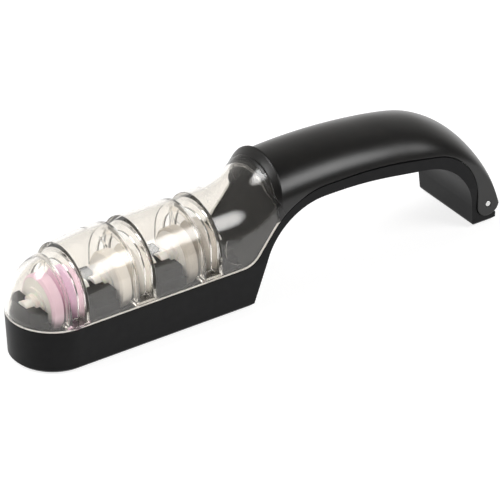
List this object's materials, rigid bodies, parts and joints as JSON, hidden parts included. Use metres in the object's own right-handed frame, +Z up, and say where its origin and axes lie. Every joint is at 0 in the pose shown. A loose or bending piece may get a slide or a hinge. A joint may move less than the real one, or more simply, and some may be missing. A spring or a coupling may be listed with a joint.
{
  "type": "pull through knife sharpener",
  "caption": "Long black and clear pull through knife sharpener with a water trough, slotted clear cover over ceramic wheels, and a hinged looped handle.",
  "frame": {"origin": "bottom centre of the box round the closed sharpener", "axes": "+X from the nose to the handle and hinge, +Y across the body along a drawn blade, +Z up"},
  "size_m": [0.2448, 0.042, 0.0639],
  "materials": {
    "black_casing": "satin",
    "black_gloss": "semi-gloss",
    "clear_plastic": "clear moulded plastic",
    "white_hub": "satin",
    "pin_steel": "satin",
    "rubber_pad": "matt",
    "fine_stone": "fine matt ceramic",
    "medium_stone": "matt ceramic",
    "coarse_stone": "coarse matt ceramic"
  },
  "bodies": {
    "base": {"base_tub": "black_casing", "wheel_cradle": "black_casing", "handle_deck": "black_casing", "front_pad": "rubber_pad", "foot_pad": "rubber_pad", "hinge_pin": "pin_steel"},
    "lid": {"clear_cover": "clear_plastic", "handle_cover": "black_gloss"},
    "fine_wheels": {"fine_axle": "pin_steel", "fine_left_hub": "white_hub", "fine_right_hub": "white_hub", "fine_left_wheel": "fine_stone", "fine_right_wheel": "fine_stone"},
    "medium_wheels": {"medium_axle": "pin_steel", "medium_left_hub": "white_hub", "medium_right_hub": "white_hub", "medium_left_wheel": "medium_stone", "medium_right_wheel": "medium_stone"},
    "coarse_wheels": {"coarse_axle": "pin_steel", "coarse_left_hub": "white_hub", "coarse_right_hub": "white_hub", "coarse_left_wheel": "coarse_stone", "coarse_right_wheel": "coarse_stone"}
  },
  "joints": [
    {"name": "lid_hinge", "type": "hinge", "parent": "base", "child": "lid", "pos_m": [0.1166, 0, 0.0103], "axis": [0, 1, 0], "range_deg": [0, 90]},
    {"name": "fine_spin", "type": "hinge", "parent": "base", "child": "fine_wheels", "pos_m": [-0.1006, 0, 0.0263], "axis": [1, 0, 0], "continuous": true},
    {"name": "medium_spin", "type": "hinge", "parent": "base", "child": "medium_wheels", "pos_m": [-0.0661, 0, 0.0263], "axis": [1, 0, 0], "continuous": true},
    {"name": "coarse_spin", "type": "hinge", "parent": "base", "child": "coarse_wheels", "pos_m": [-0.0316, 0, 0.0263], "axis": [1, 0, 0], "continuous": true}
  ]
}
